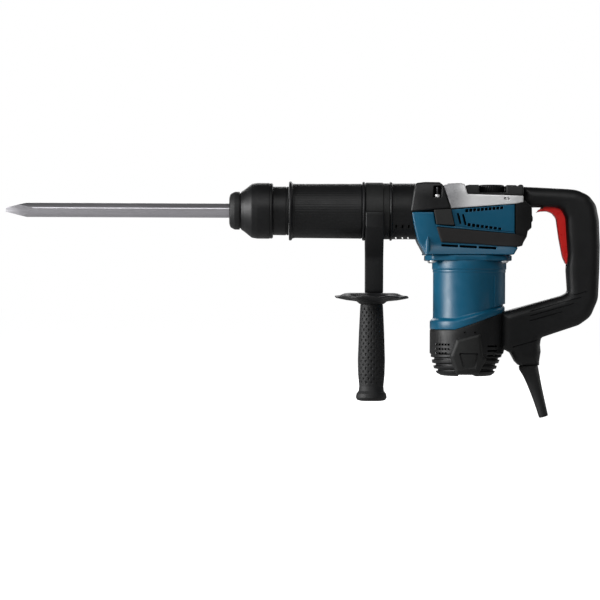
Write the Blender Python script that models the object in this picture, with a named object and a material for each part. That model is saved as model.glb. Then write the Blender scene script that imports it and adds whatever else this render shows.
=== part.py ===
"""Electric demolition hammer with a pointed chisel, as an assembly of separate parts.

Everything is built in tool space, in millimetres: X runs along the striking axis, from the
chisel (-X) to the D-handle (+X), and Z is up. The striking axis is at Z = 0 and the motor axis
at X = 0. ORIGIN then moves the tool so that the world's origin is under the middle of its box.
"""

import math

import bmesh
import bpy
from mathutils import Vector

MM = 0.001
ORIGIN = Vector((220.1, 0.0, 272.1))
GAP = 0.3  # clearance between parts that touch
ROUND = 24  # segments of a large turned part
FINE = 14  # segments of a small turned part

# Chisel and nose
CHISEL_TIP = -611.8
CHISEL_END = -212.0
HEX_FLATS = 18.0
SHANK_R = 9.0
NOSE_FRONT = -316.4
NOSE_REAR = -302.2
SLEEVE_REAR = -259.2
SLEEVE_R = 36.8
RING_REAR = -238.5

# Barrel
COVER_FRONT = -238.0
COVER_REAR = -141.9
COVER_R = 36.2
NECK_REAR = -79.2
NECK_R = 36.9
CLAMP_FRONT = -137.4
CLAMP_REAR = -106.0
CLAMP_R = 37.6
BARREL_BORE = 30.0
TUBE_R = 27.0
CYLINDER_R = 18.3

# Side handle
GRIP_X = -128.5
GUARD_R = 48.7
BRACKET_LOW = -108.0
GRIP_LOW = -250.5

# Crank drive
CRANK_X = -30.0
CRANK_THROW = 15.0
GEAR_MODULE = 1.2
GEAR_TEETH = 41
PINION_TEETH = 9
GEAR_LOW = -22.0
GEAR_HIGH = -12.0
GUDGEON_X = -72.0
ROD_HALF = 6.0

# Motor
MOTOR_R = 47.1
COLLAR_R = 49.0
CAP_R = 51.7
HOUSING_TOP = -57.6
HOUSING_LOW = -150.0
CAP_LOW = -216.7
SHAFT_R = 5.0

# Half widths across the tool
CASE_HALF = 36.0
BODY_HALF = 38.0
HOOD_HALF = 39.0
HANDLE_HALF = 18.0
TRIGGER_HALF = 8.0
TRIGGER_PIVOT = (95.5, 5.6)
TRIGGER_TRAVEL = math.radians(5.0)

# Colour, roughness and metallic value of each kind of material
LOOKS = {
    "steel": ((0.42, 0.42, 0.43), 0.32, 1.0),
    "dark_steel": ((0.16, 0.16, 0.17), 0.42, 1.0),
    "aluminium": ((0.60, 0.60, 0.61), 0.45, 1.0),
    "copper": ((0.55, 0.24, 0.12), 0.40, 1.0),
    "laminations": ((0.22, 0.22, 0.24), 0.50, 0.9),
    "carbon": ((0.05, 0.05, 0.05), 0.70, 0.0),
    "blue": ((0.010, 0.115, 0.210), 0.38, 0.0),
    "black": ((0.018, 0.019, 0.021), 0.55, 0.0),
    "rubber": ((0.022, 0.023, 0.025), 0.78, 0.0),
    "red": ((0.55, 0.012, 0.012), 0.35, 0.0),
}


def clear_scene():
    for obj in list(bpy.data.objects):
        bpy.data.objects.remove(obj)


def paint(name, look):
    """A part's own material, from its kind."""
    colour, roughness, metallic = LOOKS[look]
    material = bpy.data.materials.new(name)
    material.use_nodes = True
    shader = material.node_tree.nodes["Principled BSDF"]
    shader.inputs["Base Color"].default_value = (*colour, 1.0)
    shader.inputs["Roughness"].default_value = roughness
    shader.inputs["Metallic"].default_value = metallic
    return material


def to_object(name, bm, pivot):
    """Turn a mesh in tool space into an object in metres whose origin is the pivot."""
    bmesh.ops.recalc_face_normals(bm, faces=bm.faces)
    bmesh.ops.translate(bm, vec=-Vector(pivot), verts=bm.verts)
    bmesh.ops.scale(bm, vec=(MM, MM, MM), verts=bm.verts)
    mesh = bpy.data.meshes.new(name)
    bm.to_mesh(mesh)
    bm.free()
    obj = bpy.data.objects.new(name, mesh)
    obj.location = (Vector(pivot) + ORIGIN) * MM
    bpy.context.scene.collection.objects.link(obj)
    return obj


def part(name, bm, look, pivot=(0.0, 0.0, 0.0), smooth=True):
    obj = to_object(name, bm, pivot)
    obj.data.materials.append(paint(name, look))
    if smooth:
        obj.data.shade_smooth()
        obj.data.set_sharp_from_angle(angle=math.radians(35.0))
    return obj


def soften(obj, width):
    """Round an object's sharp edges."""
    bevel = obj.modifiers.new("edges", "BEVEL")
    bevel.width = width * MM
    bevel.segments = 1
    bevel.limit_method = "ANGLE"
    bevel.angle_limit = math.radians(50.0)


def soften_face(obj, width, y):
    """Round only the rim of an object's face at one side, and leave its seam sharp."""
    weights = obj.data.attributes.new("bevel_weight_edge", "FLOAT", "EDGE")
    for edge in obj.data.edges:
        ends = [obj.data.vertices[index].co.y for index in edge.vertices]
        if all(abs(end - y * MM) < 0.01 * MM for end in ends):
            weights.data[edge.index].value = 1.0
    bevel = obj.modifiers.new("edges", "BEVEL")
    bevel.width = width * MM
    bevel.segments = 2
    bevel.limit_method = "WEIGHT"


def cut(obj, bm, pivot=(0.0, 0.0, 0.0)):
    """Take a mesh in tool space away from an object."""
    cutter = to_object(f"cutter_{obj.name}_{len(obj.modifiers)}", bm, pivot)
    cutter.hide_render = True
    cutter.display_type = "WIRE"
    boolean = obj.modifiers.new("cut", "BOOLEAN")
    boolean.operation = "DIFFERENCE"
    boolean.solver = "EXACT"
    boolean.object = cutter


def spot(axis, centre, along, across, up):
    """A point at (along) on the axis, and (across, up) from it; centre is where the axis lies."""
    first, second = centre
    if axis == "X":
        return (along, first + across, second + up)
    if axis == "Y":
        return (first + across, along, second + up)
    return (first + across, second + up, along)


def skin(bm, ring, following):
    """Faces between two rings; a ring of one vertex is a point."""
    count = max(len(ring), len(following))
    for step in range(count):
        after = (step + 1) % count
        corners = [ring[step % len(ring)], ring[after % len(ring)]]
        corners += [following[after % len(following)], following[step % len(following)]]
        bm.faces.new(list(dict.fromkeys(corners)))


def turned(profile, axis="X", centre=(0.0, 0.0), segments=ROUND, into=None):
    """A lathe part. The profile lists (place on the axis, radius), and closes on itself
    unless both its ends lie on the axis."""
    bm = into or bmesh.new()
    rings = []
    for along, radius in profile:
        steps = segments if radius > 0 else 1
        turns = [math.tau * step / segments for step in range(steps)]
        corners = [(radius * math.cos(turn), radius * math.sin(turn)) for turn in turns]
        rings.append([bm.verts.new(spot(axis, centre, along, *corner)) for corner in corners])
    for ring, following in zip(rings, rings[1:]):
        skin(bm, ring, following)
    if profile[0][1] > 0:
        skin(bm, rings[-1], rings[0])
    return bm


def rod(low, high, radius, axis="X", centre=(0.0, 0.0), segments=FINE, into=None):
    return turned([(low, 0.0), (low, radius), (high, radius), (high, 0.0)], axis, centre, segments, into)


def tube(low, high, outer, inner, axis="X", centre=(0.0, 0.0), segments=ROUND):
    return turned([(low, outer), (high, outer), (high, inner), (low, inner)], axis, centre, segments)


def prism(outline, low, high, axis="Y", into=None):
    """An outline pushed along an axis. It lies in XZ for Y, in YZ for X and in XY for Z."""
    bm = into or bmesh.new()
    ends = []
    for along in (low, high):
        ends.append([bm.verts.new(spot(axis, (0.0, 0.0), along, *corner)) for corner in outline])
    skin(bm, *ends)
    for end in ends:
        bm.faces.new(end)
    return bm


def block(x, y, z, into=None):
    """A box from its low and high X, Y and Z."""
    corners = [(x[0], z[0]), (x[1], z[0]), (x[1], z[1]), (x[0], z[1])]
    return prism(corners, y[0], y[1], into=into)


def wheel(radii, bore, low, high, centre):
    """A disc about a vertical axis with the given outer radius at each step of its turn.
    The first two steps lie on either side of the X direction."""
    bm = bmesh.new()
    rings = []
    for along, inner in ((low, True), (low, False), (high, False), (high, True)):
        ring = []
        for step, radius in enumerate(radii):
            turn = math.tau * (step - 0.5) / len(radii)
            reach = bore if inner else radius
            ring.append(bm.verts.new(spot("Z", centre, along, reach * math.cos(turn), reach * math.sin(turn))))
        rings.append(ring)
    for ring, following in zip(rings, rings[1:] + rings[:1]):
        skin(bm, ring, following)
    return bm


def swept(path, radii, sides, bore=0.0, closed_turn=Vector((0.0, 1.0, 0.0))):
    """A tube along a path, with one radius for each point, and a bore if one is given."""
    bm = bmesh.new()
    points = [Vector(point) for point in path]
    shells = []
    for reach in ([radii] if bore == 0 else [radii, [bore] * len(radii)]):
        rings = []
        for index, point in enumerate(points):
            ahead = points[min(index + 1, len(points) - 1)] - points[max(index - 1, 0)]
            side = ahead.cross(closed_turn).normalized()
            front = side.cross(ahead).normalized()
            ring = []
            for step in range(sides):
                turn = math.tau * step / sides
                offset = side * math.cos(turn) + front * math.sin(turn)
                ring.append(bm.verts.new(point + offset * reach[index]))
            rings.append(ring)
        for ring, following in zip(rings, rings[1:]):
            skin(bm, ring, following)
        shells.append(rings)
    for end in (0, -1):
        if bore:
            skin(bm, shells[0][end], shells[1][end])
        else:
            bm.faces.new(shells[0][end])
    return bm


def arc(centre, radius, first, last, steps):
    """Points on an arc, with the angles in degrees."""
    turns = [math.radians(first + (last - first) * step / steps) for step in range(steps + 1)]
    return [(centre[0] + radius * math.cos(turn), centre[1] + radius * math.sin(turn)) for turn in turns]


# Nose and chisel


def chisel_section(half_point, corners=24):
    """The hexagon of the bar, cut down to a square of the given half side."""
    section = []
    for step in range(corners):
        turn = math.tau * step / corners
        to_flat = (turn + math.pi / 6) % (math.pi / 3) - math.pi / 6
        hexagon = HEX_FLATS / 2 / math.cos(to_flat)
        square = half_point / max(abs(math.cos(turn)), abs(math.sin(turn)))
        reach = min(hexagon, square)
        section.append((reach * math.sin(turn), reach * math.cos(turn)))
    return section


def make_chisel():
    """A hexagonal bar with a four-sided point and a round shank with two locking grooves."""
    bm = bmesh.new()
    point_length = 40.0
    stations = [0.0, 0.2, 0.4, 0.6, 0.7, 0.8, 0.9, 1.0]
    tip_half = 2.5
    rings = []
    for share in stations:
        half = tip_half + (10.5 - tip_half) * share
        rings.append([bm.verts.new((CHISEL_TIP + point_length * share, *c)) for c in chisel_section(half)])
    bar_end = -304.5
    rings.append([bm.verts.new((bar_end, *c)) for c in chisel_section(20.0)])
    for x in (bar_end + 2.0, CHISEL_END - 1.5):
        rings.append([bm.verts.new((x, SHANK_R * s, SHANK_R * c)) for s, c in unit_circle(24)])
    rings.append([bm.verts.new((CHISEL_END, 7.5 * s, 7.5 * c)) for s, c in unit_circle(24)])
    for ring, following in zip(rings, rings[1:]):
        skin(bm, ring, following)
    bm.faces.new(rings[0])
    bm.faces.new(rings[-1])
    obj = part("chisel", bm, "steel")
    grooves = block((-262.0, -232.0), (-3.4, 3.4), (6.5, 12.0))
    block((-262.0, -232.0), (-3.4, 3.4), (-12.0, -6.5), into=grooves)
    cut(obj, grooves)


def unit_circle(count):
    turns = [math.tau * step / count for step in range(count)]
    return [(math.sin(turn), math.cos(turn)) for turn in turns]


def make_tool_holder():
    """The tube that takes the shank; its windows let two rollers drop into the grooves."""
    bore = SHANK_R + GAP
    profile = [(-301.9, 16.0), (-270.0, 16.0), (-270.0, 21.5), (-267.0, 21.5), (-267.0, 16.0), (-230.0, 16.0)]
    profile += [(-230.0, 24.0), (-222.0, 24.0), (-222.0, 18.0), (-200.0, 18.0), (-200.0, bore), (-301.9, bore)]
    holder = part("tool_holder", turned(profile, segments=24), "dark_steel")
    windows = block((-261.8, -252.2), (-3.3, 3.3), (5.0, 20.0))
    block((-261.8, -252.2), (-3.3, 3.3), (-20.0, -5.0), into=windows)
    cut(holder, windows)
    for number, side in enumerate((1, -1), start=1):
        roller = rod(-261.5, -252.5, 3.0, centre=(0.0, side * 9.9), segments=12)
        part(f"lock_roller_{number}", roller, "steel")


def make_nose():
    """Rubber nose cap, locking sleeve with its spring, and the turning ring."""
    cap = [(NOSE_FRONT, 11.2), (NOSE_FRONT, 17.8), (-314.4, 19.6), (-306.0, 23.8), (NOSE_REAR, 23.8), (NOSE_REAR, 11.2)]
    part("dust_cap", turned(cap), "rubber")
    sleeve = [(-301.9, 17.4), (-301.9, 23.8), (-285.0, SLEEVE_R), (-261.2, SLEEVE_R), (SLEEVE_REAR, 35.2)]
    sleeve += [(SLEEVE_REAR, 33.0), (-286.0, 33.0), (-293.0, 24.0), (-293.0, 17.4)]
    part("locking_sleeve", turned(sleeve), "black")
    ring = [(-259.0, 24.3), (-259.0, 31.6), (RING_REAR, 31.6), (RING_REAR, 24.3), (-240.5, 16.4), (-246.0, 16.4)]
    ring += [(-246.0, 24.3)]
    part("adjusting_ring", turned(ring), "black")
    part("sleeve_spring", coil_spring(-291.6, -271.4, 19.8, 1.0, 4), "steel")


def coil_spring(low, high, radius, wire, turns):
    """A coil spring about the striking axis."""
    steps = 10 * turns
    path = []
    for step in range(steps + 1):
        turn = math.tau * turns * step / steps
        along = low + (high - low) * step / steps
        path.append((along, radius * math.cos(turn), radius * math.sin(turn)))
    return swept(path, [wire] * len(path), 6, closed_turn=Vector((1.0, 0.0, 0.0)))


# Barrel and hammer mechanism


def make_barrel():
    cover = [(COVER_FRONT, 30.0), (COVER_FRONT, 37.0), (-236.8, 38.4), (-235.2, 38.4), (-232.3, 35.5)]
    cover += [(COVER_REAR, COVER_R), (COVER_REAR, BARREL_BORE)]
    part("barrel_cover", turned(cover), "black")
    bead = 38.8
    neck = [(-141.6, BARREL_BORE), (-141.6, 37.4), (-140.4, bead), (-138.6, bead), (-137.7, CLAMP_R - 4.6)]
    neck += [(-105.7, CLAMP_R - 4.6), (-104.8, bead), (-103.0, bead), (-102.3, NECK_R), (NECK_REAR, NECK_R)]
    neck += [(NECK_REAR, BARREL_BORE)]
    obj = part("barrel_neck", turned(neck), "black")
    vents = bmesh.new()
    for x in (-97.0, -88.0):
        block((x - 1.6, x + 1.6), (-60.0, 60.0), (-24.0, -18.0), into=vents)
    cut(obj, vents)
    tube_profile = [(-221.5, CYLINDER_R), (-221.5, TUBE_R), (-60.0, TUBE_R), (-60.0, CYLINDER_R)]
    part("hammer_tube", turned(tube_profile, segments=24), "dark_steel")


def make_hammer():
    """Impact bolt, striker and piston, each with its own travel inside the tube."""
    bolt = [(-206.0, 0.0), (-206.0, SHANK_R), (-194.0, SHANK_R), (-194.0, 14.0), (-182.0, 14.0), (-182.0, 0.0)]
    part("impact_bolt", turned(bolt, segments=24), "steel")
    striker = [(-152.0, 0.0), (-152.0, 12.0), (-148.0, 18.0), (-133.0, 18.0), (-133.0, 16.0), (-129.0, 16.0)]
    striker += [(-129.0, 18.0), (-122.0, 18.0), (-122.0, 0.0)]
    part("striker", turned(striker, segments=24), "steel")
    part("striker_seal", tube(-132.7, -129.3, 18.0, 16.2, segments=24), "rubber")
    piston = [(-88.0, 0.0), (-88.0, 18.0), (-62.0, 18.0), (-62.0, 14.0), (-82.0, 14.0), (-82.0, 0.0)]
    body = part("piston", turned(piston, segments=24), "aluminium")
    cut(body, rod(-25.0, 25.0, 4.3, axis="Y", centre=(GUDGEON_X, 0.0)))
    part("gudgeon_pin", rod(-16.8, 16.8, 4.0, axis="Y", centre=(GUDGEON_X, 0.0), segments=16), "steel")


def make_connecting_rod():
    """The rod from the gudgeon pin to the crank pin, which stops just above the crank gear."""
    pin_x = CRANK_X + CRANK_THROW
    outline = arc((GUDGEON_X, 0.0), 8.0, 60.0, 300.0, 10) + arc((pin_x, 0.0), 10.5, -130.0, 130.0, 12)
    obj = part("connecting_rod", prism(outline, -ROD_HALF, ROD_HALF, axis="Z"), "steel")
    cut(obj, rod(-20.0, 20.0, 5.3, axis="Z", centre=(pin_x, 0.0)))
    cut(obj, rod(-20.0, 20.0, 4.3, axis="Y", centre=(GUDGEON_X, 0.0)))
    pin = rod(GEAR_HIGH + GAP, 8.0, 5.0, axis="Z", centre=(pin_x, 0.0))
    part("crank_pin", pin, "steel", pivot=(pin_x, 0.0, 0.0))


def tooth_radii(teeth):
    """Outer radius at each step around a gear; each tooth has two steps of tip and three of root."""
    pitch = GEAR_MODULE * teeth / 2
    return [pitch + height for height in (1.0, 1.0, -1.5, -1.5, -1.5)] * teeth


def make_crank_drive():
    """The crank gear on its bearing, and the pinion that drives it."""
    axis = (CRANK_X, 0.0)
    pivot = (CRANK_X, 0.0, 0.0)
    part("crank_gear", wheel(tooth_radii(GEAR_TEETH), 6.3, GEAR_LOW, GEAR_HIGH, axis), "steel", pivot)
    shaft = [(-47.0, 0.0), (-47.0, 6.0), (GEAR_LOW - 4.0, 6.0), (GEAR_LOW - 4.0, 9.0), (GEAR_LOW - GAP, 9.0)]
    shaft += [(GEAR_LOW - GAP, 6.0), (GEAR_HIGH - 1.0, 6.0), (GEAR_HIGH - 1.0, 0.0)]
    part("crank_shaft", turned(shaft, "Z", axis, FINE), "dark_steel", pivot)
    part("crank_bearing", tube(-40.0, -30.0, 15.0, 6.3, "Z", axis, 24), "steel")
    part("pinion", wheel(tooth_radii(PINION_TEETH), 1.5, GEAR_LOW, GEAR_HIGH, (0.0, 0.0)), "steel")


# Motor


def make_motor():
    """Field, armature, commutator, fan and shaft, with their bearings."""
    part("field_stator", tube(-138.0, -96.0, 43.5, 25.6, "Z", segments=24), "laminations")
    slots = [25.0, 25.0, 21.5]
    part("armature", wheel(slots * 12, SHAFT_R + GAP, -140.0, -94.0, (0.0, 0.0)), "laminations")
    part("commutator", tube(-166.0, -150.0, 14.0, SHAFT_R + GAP, "Z", segments=24), "copper")
    part("motor_shaft", rod(-178.4, GEAR_LOW - GAP, SHAFT_R, "Z"), "steel")
    part("fan", wheel([40.0, 40.0, 13.0] * 11, SHAFT_R + GAP, -90.0, -78.0, (0.0, 0.0)), "black")
    part("upper_bearing", tube(-60.0, -50.0, 13.0, SHAFT_R + GAP, "Z", segments=24), "steel")
    part("lower_bearing", tube(-178.7, -170.7, 13.0, SHAFT_R + GAP, "Z", segments=24), "steel")


def make_brushes():
    for name, side in (("left", -1), ("right", 1)):
        brush = sorted((side * 14.3, side * 30.0))
        part(f"brush_{name}", block((-4.0, 4.0), brush, (-161.0, -154.0)), "carbon", smooth=False)


def make_motor_housing():
    outside = [(HOUSING_TOP, 44.0), (HOUSING_TOP, COLLAR_R), (-79.0, COLLAR_R), (-80.5, MOTOR_R)]
    outside += [(-139.0, MOTOR_R), (-141.5, CAP_R), (HOUSING_LOW, CAP_R), (HOUSING_LOW, 44.0)]
    part("motor_housing", turned(outside, "Z", segments=32), "blue")
    cap = [(CAP_LOW, 0.0), (CAP_LOW, 27.0), (-213.7, 39.0), (-206.0, 44.5), (-192.9, 50.4), (-185.7, CAP_R)]
    cap += [(HOUSING_LOW - GAP, CAP_R), (HOUSING_LOW - GAP, 47.5), (-186.0, 47.5), (-205.0, 41.0)]
    cap += [(-212.5, 35.0), (-213.2, 16.5), (-170.0, 16.5), (-170.0, 13.3), (-179.0, 13.3), (-179.0, 0.0)]
    obj = part("motor_cap", turned(cap, "Z", segments=32), "black")
    vents = bmesh.new()
    for row in range(3):
        for column in range(3):
            x = -43.0 + 5.6 * column
            z = -176.5 - 6.0 * row
            block((x, x + 3.4), (-60.0, 60.0), (z, z + 3.0), into=vents)
    cut(obj, vents)


# Casings


def make_front_hood():
    """The black cover of the crank housing; the hammer tube enters through its front."""
    outline = [(-77.9, -0.9), (-78.8, 0.3), (-75.0, 26.7), (-71.8, 36.3), (-60.7, 37.4), (-41.0, 37.4)]
    outline += [(-37.2, 34.3), (-26.7, 3.6), (-22.0, -19.0), (-46.0, -17.6), (-48.7, -0.9)]
    hood = part("front_hood", prism(outline, -HOOD_HALF, HOOD_HALF), "black", smooth=False)
    soften(hood, 2.5)
    cut(hood, block((-74.0, -15.0), (-32.0, 32.0), (-40.0, 31.0)))
    cut(hood, rod(-90.0, -60.0, TUBE_R + GAP, segments=24))


def make_gear_case():
    """The cast case: its top shows as a silver band, and its walls stand behind the panels."""
    outline = [(-35.3, 33.8), (-27.9, 36.2), (-11.9, 36.2), (-8.4, 34.3), (-4.8, 21.1), (68.6, 20.7)]
    outline += [(68.4, 10.2), (56.6, 9.6), (56.6, -29.0), (-21.0, -20.4), (-26.1, 5.0)]
    case = part("gear_case", prism(outline, -CASE_HALF, CASE_HALF), "aluminium", smooth=False)
    soften(case, 1.5)
    cut(case, block((-50.0, 50.0), (-30.0, 30.0), (-50.0, 15.0)))


def make_upper_body():
    """The blue body under the hood and the case; its floor holds the upper bearing."""
    outline = [(-77.6, -1.3), (-49.2, -1.3), (-49.2, -19.8), (-23.0, -21.2), (56.0, -30.4), (57.0, -47.0)]
    outline += [(54.5, -57.2), (-57.0, -57.2), (-59.1, -54.8), (-68.5, -39.3), (-74.6, -14.1)]
    body = part("upper_body", prism(outline, -BODY_HALF, BODY_HALF), "blue", smooth=False)
    soften(body, 3.0)
    cut(body, block((-62.0, 50.0), (-30.0, 30.0), (-51.0, 10.0)))
    cut(body, rod(-90.0, -60.0, TUBE_R + GAP, segments=24))
    cut(body, rod(-70.0, -45.0, 13.0 + GAP, "Z", segments=24))


def slot_cutter(low, high):
    """The panel's slots: a row along its top, a row along its bottom and two leaning ones."""
    slots = bmesh.new()
    for number in range(10):
        x = -10.0 + 5.4 * number
        z = -2.6 + 0.4 * number
        prism([(x, z), (x + 3.0, z), (x + 3.6, z + 3.0), (x + 0.6, z + 3.0)], low, high, into=slots)
    for number in range(8):
        x = -1.0 + 5.4 * number
        z = -20.4 - 0.9 * number
        prism([(x, z), (x + 3.0, z - 0.4), (x + 3.4, z + 2.6), (x + 0.4, z + 3.0)], low, high, into=slots)
    for x in (-18.5, -11.4):
        prism([(x, -4.5), (x + 4.6, -17.5), (x + 6.8, -17.8), (x + 2.4, -4.0)], low, high, into=slots)
    return slots


def make_side_pieces():
    """Slotted panels and dark belts, one of each on either side."""
    panel = [(-24.6, 0.3), (56.5, 9.2), (56.5, -29.0), (-20.3, -22.4)]
    belt = [(-42.6, -22.6), (-20.0, -24.6), (56.8, -31.4), (72.5, -34.4), (61.8, -46.6), (30.0, -43.8)]
    belt += [(-32.7, -40.5), (-37.8, -39.3)]
    for name, side in (("left", -1), ("right", 1)):
        low, high = sorted((side * (CASE_HALF + GAP), side * (CASE_HALF + 4.0)))
        obj = part(f"side_panel_{name}", prism(panel, low, high), "blue", smooth=False)
        cut(obj, slot_cutter(low - 2.0, high + 2.0))
        low, high = sorted((side * (BODY_HALF + GAP), side * (BODY_HALF + 3.6)))
        strip = part(f"belt_{name}", prism(belt, low, high), "rubber", smooth=False)
        soften(strip, 1.2)


def make_rear_cover():
    outline = [(57.3, 9.3), (63.0, 8.8), (65.0, 4.6), (80.4, 4.6), (81.3, -5.3), (79.1, -11.4), (80.9, -22.4)]
    outline += [(74.8, -26.1), (74.2, -33.4), (67.5, -45.1), (57.5, -46.6)]
    cover = part("rear_cover", prism(outline, -BODY_HALF, BODY_HALF), "black", smooth=False)
    soften(cover, 2.5)
    cut(cover, block((50.0, 72.0), (-32.0, 32.0), (-40.0, 3.0)))


def make_top():
    """The deck on top of the case, and the round dial that turns on it."""
    outline = [(-3.9, 21.5), (-1.3, 34.3), (10.6, 34.3), (11.2, 24.3), (46.8, 24.3), (47.2, 34.3)]
    outline += [(59.7, 34.3), (61.2, 33.3), (67.0, 35.0), (68.8, 33.0), (68.8, 21.1)]
    deck = part("top_deck", prism(outline, -28.0, 28.0), "black", smooth=False)
    soften(deck, 1.2)
    centre = (28.9, 0.0)
    knurl = [15.8, 15.8, 14.9, 14.9] * 12
    part("selector_dial", wheel(knurl, 4.0, 25.1, 35.4, centre), "black", (*centre, 0.0))


# D-handle


def handle_outline():
    outer = [(69.3, 33.4), (80.9, 32.6), (127.5, 30.4), (141.1, 29.2), (148.4, 26.4), (156.9, 22.0), (162.0, 17.5)]
    outer += [(166.2, 9.5), (168.9, 0.9), (170.5, -10.2), (171.6, -44.5), (171.1, -75.1), (169.5, -114.6)]
    outer += [(166.1, -125.9), (159.7, -137.9), (152.3, -144.3), (144.4, -149.0), (120.4, -157.0), (94.1, -165.9)]
    outlet = [(93.2, -175.0), (93.9, -183.1), (92.1, -196.7), (92.1, -202.2), (65.6, -202.2), (60.5, -197.3)]
    outlet += [(54.3, -185.9), (49.6, -183.1), (40.0, -180.0)]
    inner = [(40.0, -133.0), (120.4, -110.3), (125.4, -108.2), (128.6, -103.7), (129.4, -97.3), (127.5, -75.1)]
    inner += [(127.5, -68.0), (129.4, -59.3), (127.2, -32.2), (126.1, -11.4), (124.5, -4.0), (120.1, 2.1)]
    return outer + outlet + inner + [(114.0, 5.9), (80.8, 5.9), (69.3, 6.3)]


def make_handle():
    """The two halves of the D-handle, with room inside for the trigger and the switch."""
    pocket = [(84.0, -4.0), (84.0, 9.0), (90.0, 14.5), (108.0, 15.5), (118.0, 14.6), (126.0, 11.2), (132.5, 4.6)]
    pocket += [(136.0, -9.0), (138.5, -30.0), (141.5, -57.0), (141.0, -65.0), (133.0, -69.8), (127.0, -72.6)]
    pocket += [(112.0, -72.6), (100.0, -20.0)]
    for name, side in (("left", -1), ("right", 1)):
        low, high = sorted((side * 0.15, side * HANDLE_HALF))
        half = part(f"handle_{name}", prism(handle_outline(), low, high), "black", smooth=False)
        soften_face(half, 4.0, side * HANDLE_HALF)
        cut(half, rod(-230.0, -100.0, MOTOR_R + 0.5, "Z", segments=40))
        cut(half, rod(-230.0, -138.0, CAP_R + 0.5, "Z", segments=40))
        reach = TRIGGER_HALF + 0.5
        cut(half, prism(pocket, -reach, reach))
        cut(half, block((137.0, 160.0), (-8.5, 8.5), (-58.0, -18.0)))
        cut(half, rod(-13.3, 13.3, 2.3, "Y", TRIGGER_PIVOT, 12))


def make_trigger():
    front = [(88.5, 0.4), (94.4, 1.5), (103.0, 1.2), (108.0, -0.3), (112.9, -5.3), (114.7, -10.2), (115.9, -19.9)]
    front += [(118.4, -32.2), (121.4, -50.7), (123.8, -61.6), (128.2, -69.0)]
    back = [(133.0, -68.0), (134.0, -59.0), (132.0, -32.0), (131.0, -11.0), (128.5, -2.0), (123.0, 6.0)]
    back += [(116.0, 10.5), (108.0, 12.0), (98.0, 12.0), (91.0, 8.5)]
    pivot = (TRIGGER_PIVOT[0], 0.0, TRIGGER_PIVOT[1])
    lever = part("trigger", prism(front + back, -TRIGGER_HALF, TRIGGER_HALF), "red", pivot, smooth=False)
    soften(lever, 1.5)
    cut(lever, rod(-20.0, 20.0, 2.3, "Y", TRIGGER_PIVOT, 12))
    part("trigger_pin", rod(-13.0, 13.0, 2.0, "Y", TRIGGER_PIVOT, 12), "steel")
    part("switch", block((142.5, 159.5), (-8.0, 8.0), (-57.5, -18.5)), "black", smooth=False)


def make_cord_boot():
    """The tapered sleeve that the mains lead leaves through."""
    path = [(78.9, 0.0, -202.6), (78.9, 0.0, -204.6), (80.6, 0.0, -209.0), (83.3, 0.0, -216.3)]
    path += [(88.7, 0.0, -234.0), (93.8, 0.0, -251.0), (99.2, 0.0, -270.3)]
    radii = [13.0, 12.6, 11.5, 10.2, 8.3, 7.0, 6.25]
    boot = swept(path, radii, 18, bore=4.2)
    part("cord_boot", boot, "rubber")


# Side handle


def make_side_handle():
    """Clamp band, bracket, guard and grip. They swing round the barrel, and the grip screws in."""
    part("clamp_band", tube(CLAMP_FRONT, CLAMP_REAR, CLAMP_R, CLAMP_R - 4.3), "dark_steel")
    saddle = arc((0.0, 0.0), CLAMP_R + GAP, 182.0, 358.0, 16)
    outline = [(42.0, -1.3), (42.0, -22.0), (14.0, -62.0), (12.5, BRACKET_LOW)]
    outline += [(-y, z) for y, z in reversed(outline)]
    bracket = part("handle_bracket", prism(saddle + outline, -137.6, -113.7, axis="X"), "black", smooth=False)
    soften(bracket, 1.0)
    axis = (GRIP_X, 0.0)
    cut(bracket, rod(-130.0, -62.0, 4.3, "Z", axis, 16))
    part("clamp_bolt", rod(-148.0, -64.0, 4.0, "Z", axis, 16), "steel", (GRIP_X, 0.0, 0.0))
    guard = [(-108.3, 4.3), (-108.3, 20.0), (-110.5, 38.0), (-113.0, GUARD_R), (-115.0, GUARD_R), (-114.0, 38.0)]
    guard += [(-118.5, 18.0), (-118.5, 4.3)]
    part("guard_disc", turned(guard, "Z", axis), "rubber", (GRIP_X, 0.0, 0.0))
    grip = [(-149.0, 0.0), (-149.0, 4.3), (-118.8, 4.3), (-118.8, 14.0), (-122.8, 15.4), (-160.0, 16.8)]
    grip += [(-195.0, 17.9), (-231.0, 16.1), (-237.6, 18.0), (-240.5, 20.2), (-246.0, 20.2), (GRIP_LOW, 17.0)]
    grip += [(GRIP_LOW, 0.0)]
    part("side_grip", turned(grip, "Z", axis), "rubber", (GRIP_X, 0.0, 0.0))


# Fasteners


def make_screws():
    corners = [(-54.0, -27.0), (-54.0, 27.0), (44.0, -31.0), (44.0, 31.0)]
    for number, centre in enumerate(corners, start=1):
        part(f"housing_screw_{number}", rod(-66.0, -57.5, 2.8, "Z", centre, 12), "steel")
    for name, side in (("left", -1), ("right", 1)):
        low, high = sorted((side * (HOOD_HALF + GAP), side * (HOOD_HALF + 3.0)))
        part(f"hood_bolt_{name}", rod(low, high, 4.0, "Y", (-44.9, 22.0), 12), "steel")


def main():
    clear_scene()
    make_chisel()
    make_tool_holder()
    make_nose()
    make_barrel()
    make_hammer()
    make_connecting_rod()
    make_crank_drive()
    make_motor()
    make_brushes()
    make_motor_housing()
    make_front_hood()
    make_gear_case()
    make_upper_body()
    make_side_pieces()
    make_rear_cover()
    make_top()
    make_handle()
    make_trigger()
    make_cord_boot()
    make_side_handle()
    make_screws()


main()
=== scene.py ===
"""Looks of the electric demolition hammer: moulded shells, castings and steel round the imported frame.

Shapes are given in tool space, in millimetres: X runs along the striking axis, from the chisel
(-X) to the D-handle (+X), and Z is up. The striking axis is at Z = 0 and the motor axis at X = 0.
ORIGIN, read from the frame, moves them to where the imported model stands.
"""

from math import ceil, cos, pi, radians, sin, sqrt, tan, tau

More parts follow.
